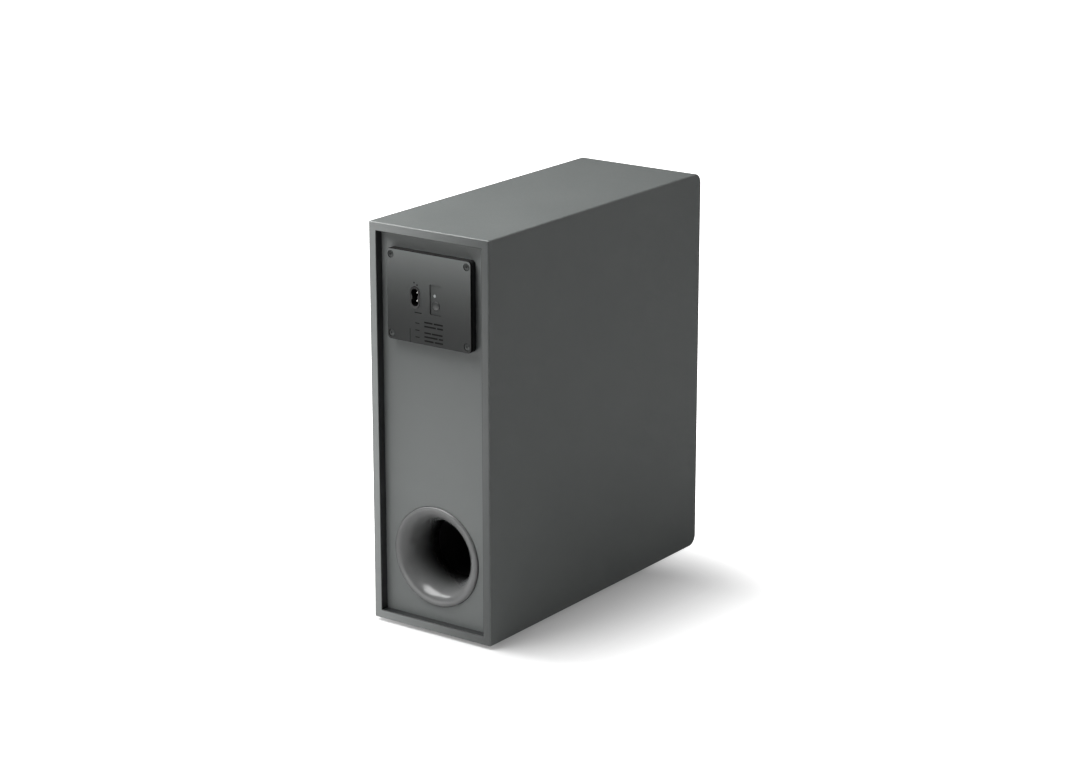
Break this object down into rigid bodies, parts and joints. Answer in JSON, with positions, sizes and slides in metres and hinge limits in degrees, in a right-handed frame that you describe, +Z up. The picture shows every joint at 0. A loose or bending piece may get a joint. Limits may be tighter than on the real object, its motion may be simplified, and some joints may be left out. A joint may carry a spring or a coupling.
{
  "type": "wireless subwoofer",
  "caption": "Slim upright wireless subwoofer of a soundbar set, with a side-firing woofer behind a round cloth grille, a flared rear port and a rear amplifier plate.",
  "frame": {"origin": "on the floor, under the middle of the object's box, the grille on its right side included", "axes": "+Z up; the front faces -Y and the back, with the amplifier plate and the port, faces +Y; the woofer fires towards +X"},
  "size_m": [0.154, 0.372, 0.4135],
  "materials": {
    "cabinet_wrap": "satin",
    "raw_board": "matte",
    "pine": "matte",
    "port_plastic": "satin",
    "tube_card": "matte",
    "plate_paint": "satin",
    "black_plastic": "satin",
    "black_foam": "matte",
    "black_screws": "satin",
    "inlet_plastic": "gloss",
    "plated_pins": "polished",
    "button_plastic": "satin",
    "light_lens": "gloss",
    "circuit_board": "satin",
    "ferrite": "matte",
    "capacitor_sleeve": "gloss",
    "chip_epoxy": "matte",
    "heat_sink_metal": "satin",
    "tin_plate": "satin",
    "white_nylon": "satin",
    "basket_paint": "satin",
    "zinc_steel": "satin",
    "foil_former": "satin",
    "copper_wire": "satin",
    "paper_cone": "matte",
    "surround_rubber": "matte",
    "spider_cloth": "matte",
    "phenolic": "satin",
    "cable_jacket": "satin",
    "wadding": "matte",
    "grille_plastic": "matte",
    "grille_cloth": "matte",
    "foot_rubber": "matte"
  },
  "bodies": {
    "cabinet": {"ac_inlet": "inlet_plastic", "amp_chip": "chip_epoxy", "amp_gasket": "black_foam", "amp_plate": "plate_paint", "amp_screws": "black_screws", "amp_tray": "black_plastic", "back_panel": "cabinet_wrap", "board_screws": "zinc_steel", "bottom_panel": "cabinet_wrap", "capacitors": "capacitor_sleeve", "control_board": "circuit_board", "control_lead": "cable_jacket", "control_posts": "black_plastic", "front_cleats": "pine", "front_panel": "cabinet_wrap", "grille_cloth": "grille_cloth", "grille_cups": "foot_rubber", "grille_frame": "grille_plastic", "heat_sink": "heat_sink_metal", "inlet_leads": "cable_jacket", "inlet_pins": "plated_pins", "left_side_panel": "cabinet_wrap", "light_pipe": "light_lens", "main_board": "circuit_board", "output_connector": "white_nylon", "port_flare": "port_plastic", "port_inner_flare": "port_plastic", "port_tube": "tube_card", "rear_cleats": "pine", "right_side_panel": "cabinet_wrap", "rubber_feet": "foot_rubber", "speaker_cable": "cable_jacket", "spider": "spider_cloth", "status_led": "white_nylon", "tact_switch": "black_plastic", "tinsel_leads": "copper_wire", "top_panel": "cabinet_wrap", "transformer": "ferrite", "trim_ring": "black_foam", "wadding_pad": "wadding", "window_brace": "raw_board", "wireless_module": "tin_plate", "woofer_back_plate": "zinc_steel", "woofer_basket": "basket_paint", "woofer_magnet": "ferrite", "woofer_screws": "black_screws", "woofer_seal": "black_foam", "woofer_surround": "surround_rubber", "woofer_terminal": "phenolic", "woofer_top_plate": "zinc_steel"},
    "cone_assembly": {"woofer_cone": "paper_cone", "dust_cap": "paper_cone", "coil_former": "foil_former", "voice_coil": "copper_wire"},
    "button": {"pair_button": "button_plastic", "switch_plunger": "black_plastic"}
  },
  "joints": [
    {"name": "woofer_excursion", "type": "slide", "parent": "cabinet", "child": "cone_assembly", "axis": [1, 0, 0], "range_m": [-0.005, 0.005], "stiffness_N_per_m": 1500, "deforming": ["woofer_surround", "spider", "tinsel_leads"]},
    {"name": "pair_button_press", "type": "slide", "parent": "cabinet", "child": "button", "axis": [0, -1, 0], "range_m": [0, 0.0005], "stiffness_N_per_m": 800}
  ]
}
